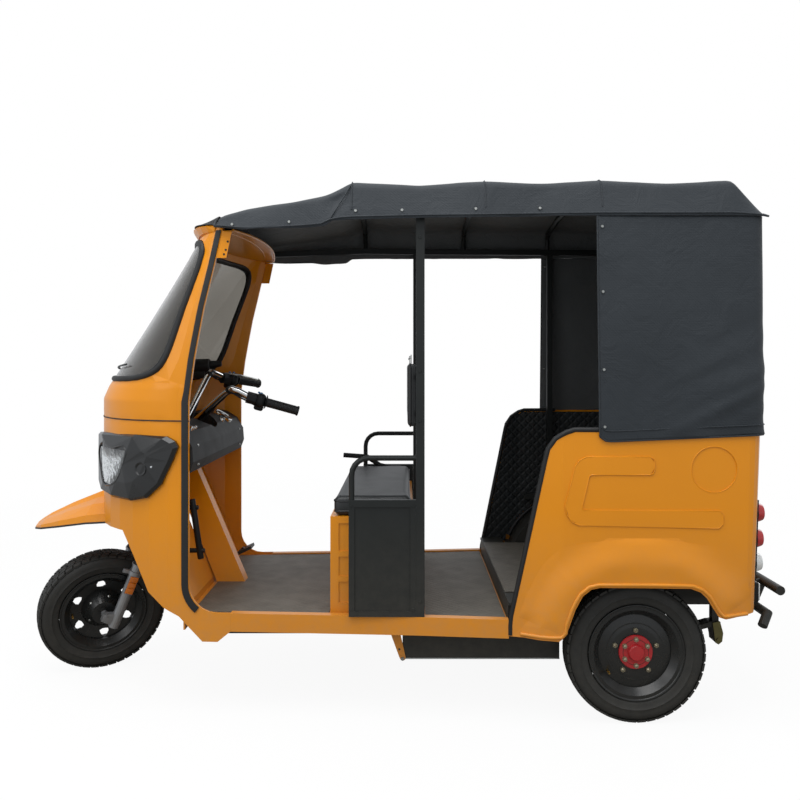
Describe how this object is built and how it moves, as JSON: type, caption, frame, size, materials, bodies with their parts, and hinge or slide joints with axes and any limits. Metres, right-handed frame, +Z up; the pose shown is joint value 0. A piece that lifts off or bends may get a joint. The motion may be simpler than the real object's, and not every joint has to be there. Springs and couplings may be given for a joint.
{
  "type": "electric passenger tricycle",
  "caption": "Three-wheeled electric passenger vehicle with a curved cab and windscreen, handlebar steering, open sides, driver and passenger benches and a fabric roof on hoops.",
  "frame": {"origin": "on the ground, at the middle of the overall length and width", "axes": "+X towards the tail, so the vehicle drives along -X; -Y is the driver's left; +Z up"},
  "size_m": [2.9, 1.2, 1.925],
  "materials": {
    "body_paint": "glossy orange-yellow enamel on pressed steel",
    "frame_black": "satin black enamel on steel tube and sheet",
    "black_plastic": "matt black moulded plastic",
    "glass": "clear glass and clear lamp lens",
    "canopy_fabric": "dark slate coated canvas",
    "seat_vinyl": "dark vinyl over foam",
    "lamp_red": "red moulded lamp lenses on their plate",
    "axle_grey": "grey painted axle tube, motor and drums",
    "fork_grey": "satin grey paint on the fork legs",
    "rim_black": "semi-gloss black wheel rim",
    "rubber": "black tyre rubber"
  },
  "bodies": {
    "body": {"battery_pack": "black_plastic", "battery_tray": "frame_black", "bench_backrest": "seat_vinyl", "bench_base": "frame_black", "bench_cushion": "seat_vinyl", "brake_pedal": "frame_black", "cab_cowl": "body_paint", "canopy": "canopy_fabric", "centre_frame": "frame_black", "chassis_frame": "frame_black", "dashboard": "black_plastic", "driver_backrest": "seat_vinyl", "driver_cushion": "seat_vinyl", "floor_pan": "body_paint", "front_bulkhead": "body_paint", "front_fender": "body_paint", "headlamp_lens_left": "glass", "headlamp_lens_right": "glass", "headlamp_pod_left": "black_plastic", "headlamp_pod_right": "black_plastic", "leaf_spring_left": "frame_black", "leaf_spring_right": "frame_black", "parking_brake_lever": "black_plastic", "rear_axle": "axle_grey", "rear_bumper": "frame_black", "rear_curtain": "canopy_fabric", "rear_panel": "body_paint", "rear_pillars_left": "frame_black", "rear_pillars_right": "frame_black", "rear_quarter_left": "body_paint", "rear_quarter_right": "body_paint", "rear_tub": "frame_black", "roof_frame": "frame_black", "seat_box": "body_paint", "seat_guard_left": "frame_black", "seat_guard_right": "frame_black", "steering_head": "body_paint", "tail_lamps_left": "lamp_red", "tail_lamps_right": "lamp_red", "windscreen": "glass", "windscreen_frame": "body_paint"},
    "steering": {"front_fork": "fork_grey", "handlebar": "black_plastic"},
    "front_wheel": {"front_rim": "rim_black", "front_tyre": "rubber"},
    "rear_wheel_left": {"rear_rim_left": "rim_black", "rear_tyre_left": "rubber"},
    "rear_wheel_right": {"rear_rim_right": "rim_black", "rear_tyre_right": "rubber"}
  },
  "joints": [
    {"name": "steering", "type": "hinge", "parent": "body", "child": "steering", "pos_m": [-1.15591, 0, 0.23681], "axis": [0.3746, 0, 0.9272], "range_deg": [-70, 10]},
    {"name": "front_wheel_spin", "type": "hinge", "parent": "steering", "child": "front_wheel", "pos_m": [-1.18, -0.015, 0.24654], "axis": [-0.4636, 0.866, 0.1873], "continuous": true},
    {"name": "rear_wheel_left_spin", "type": "hinge", "parent": "body", "child": "rear_wheel_left", "pos_m": [0.875, -0.485, 0.2475], "axis": [0, 1, 0], "continuous": true},
    {"name": "rear_wheel_right_spin", "type": "hinge", "parent": "body", "child": "rear_wheel_right", "pos_m": [0.875, 0.485, 0.2475], "axis": [0, 1, 0], "continuous": true}
  ]
}
